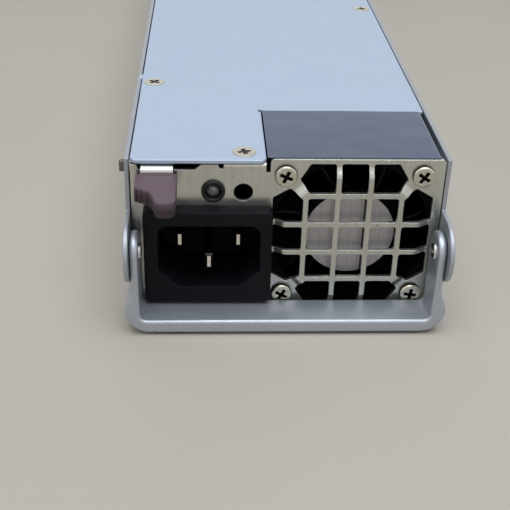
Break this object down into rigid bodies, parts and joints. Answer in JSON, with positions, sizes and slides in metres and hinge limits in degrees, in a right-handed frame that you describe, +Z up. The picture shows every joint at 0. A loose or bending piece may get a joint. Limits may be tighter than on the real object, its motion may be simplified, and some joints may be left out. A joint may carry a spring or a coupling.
{
  "type": "hot swap server power supply",
  "caption": "Long flat sheet-metal power module with mains inlet, grilled fan, drop handle, spring latch and rear blind-mate connector.",
  "frame": {"origin": "middle of the case's underside, on the plane of the front face", "axes": "+X to the right seen from the front, +Y into the case towards the rear connector, +Z up"},
  "size_m": [0.0773, 0.3016, 0.0412],
  "materials": {
    "tray_steel": "satin galvanised sheet",
    "face_steel": "satin galvanised sheet, faint vertical grain",
    "cover_steel": "smooth plated sheet",
    "rear_steel": "satin galvanised sheet",
    "screw_nickel": "nickel plated, bright",
    "shield_film": "glossy black film",
    "fan_black": "moulded",
    "label_silver": "satin silver-grey sticker with plain ruled lines",
    "impeller_black": "moulded",
    "stator_steel": "stacked laminations",
    "copper_wire": "enamelled copper",
    "bearing_steel": "ground",
    "magnet_black": "bonded ferrite",
    "lead_insulation": "soft insulation",
    "plug_nylon": "natural nylon",
    "inlet_black": "moulded thermoplastic",
    "blade_nickel": "nickel plated brass",
    "bezel_black": "moulded",
    "lamp_clear": "clear dome",
    "handle_silver": "silver painted die casting",
    "rivet_steel": "bright",
    "latch_steel": "bright spring steel",
    "tab_plum": "moulded, satin, plum coloured",
    "spring_wire": "drawn wire",
    "board_green": "solder mask",
    "liner_grey": "thin sheet",
    "fuse_ceramic": "white tube",
    "ferrite": "sintered",
    "film_box": "moulded box",
    "disc_blue": "dipped",
    "relay_case": "moulded",
    "can_sleeve": "sleeved aluminium can",
    "package_black": "moulded package",
    "sink_aluminium": "extruded",
    "bobbin_plastic": "moulded",
    "tape_yellow": "taped winding",
    "board_blue": "solder mask",
    "connector_black": "moulded",
    "contact_gold": "gold flashed"
  },
  "bodies": {
    "case": {"chassis_tray": "tray_steel", "face_panel": "face_steel", "rear_panel": "rear_steel", "top_cover": "cover_steel", "cover_screws": "screw_nickel", "fan_shield_film": "shield_film", "fan_frame": "fan_black", "fan_label": "label_silver", "fan_screws": "screw_nickel", "fan_stator": "stator_steel", "fan_coils": "copper_wire", "fan_bearings": "bearing_steel", "fan_leads": "lead_insulation", "fan_plug": "plug_nylon", "inlet_housing": "inlet_black", "live_blades": "blade_nickel", "earth_blade": "blade_nickel", "lamp_bezel": "bezel_black", "lamp_lens": "lamp_clear", "lamp_leads": "lead_insulation", "handle_rivets": "rivet_steel", "latch_bracket": "latch_steel", "main_board": "board_green", "insulating_sheet": "liner_grey", "standoffs": "rivet_steel", "board_screws": "screw_nickel", "mains_fuse": "fuse_ceramic", "noise_choke_core": "ferrite", "noise_choke_windings": "copper_wire", "film_capacitors": "film_box", "ceramic_capacitors": "disc_blue", "inrush_relay": "relay_case", "boost_choke_core": "ferrite", "boost_choke_winding": "copper_wire", "bulk_capacitors": "can_sleeve", "bridge_rectifier": "package_black", "primary_heat_sink": "sink_aluminium", "power_transistors": "package_black", "transformer_core": "ferrite", "transformer_bobbin": "bobbin_plastic", "transformer_windings": "tape_yellow", "output_heat_sink": "sink_aluminium", "output_rectifiers": "package_black", "output_choke_core": "ferrite", "output_choke_winding": "copper_wire", "output_capacitors": "can_sleeve", "control_board": "board_blue", "output_connector": "connector_black", "output_contacts": "contact_gold", "signal_pins": "contact_gold"},
    "handle": {"bail_handle": "handle_silver"},
    "latch": {"latch_lever": "latch_steel", "thumb_tab": "tab_plum", "latch_pin": "rivet_steel", "latch_spring": "spring_wire"},
    "fan_rotor": {"impeller": "impeller_black", "fan_shaft": "bearing_steel", "magnet_ring": "magnet_black"}
  },
  "joints": [
    {"name": "handle_swing", "type": "hinge", "parent": "case", "child": "handle", "pos_m": [0, -0.0063, 0.0206], "axis": [-1, 0, 0], "range_deg": [0, 128]},
    {"name": "latch_press", "type": "hinge", "parent": "case", "child": "latch", "pos_m": [-0.031, 0.03, 0.039], "axis": [0, 0, 1], "range_deg": [0, 3.2], "stiffness_Nm_per_rad": 0.35, "springref_deg": -3.44},
    {"name": "fan_spin", "type": "hinge", "parent": "case", "child": "fan_rotor", "pos_m": [0.0154, 0.01, 0.021], "axis": [0, 1, 0], "continuous": true}
  ]
}
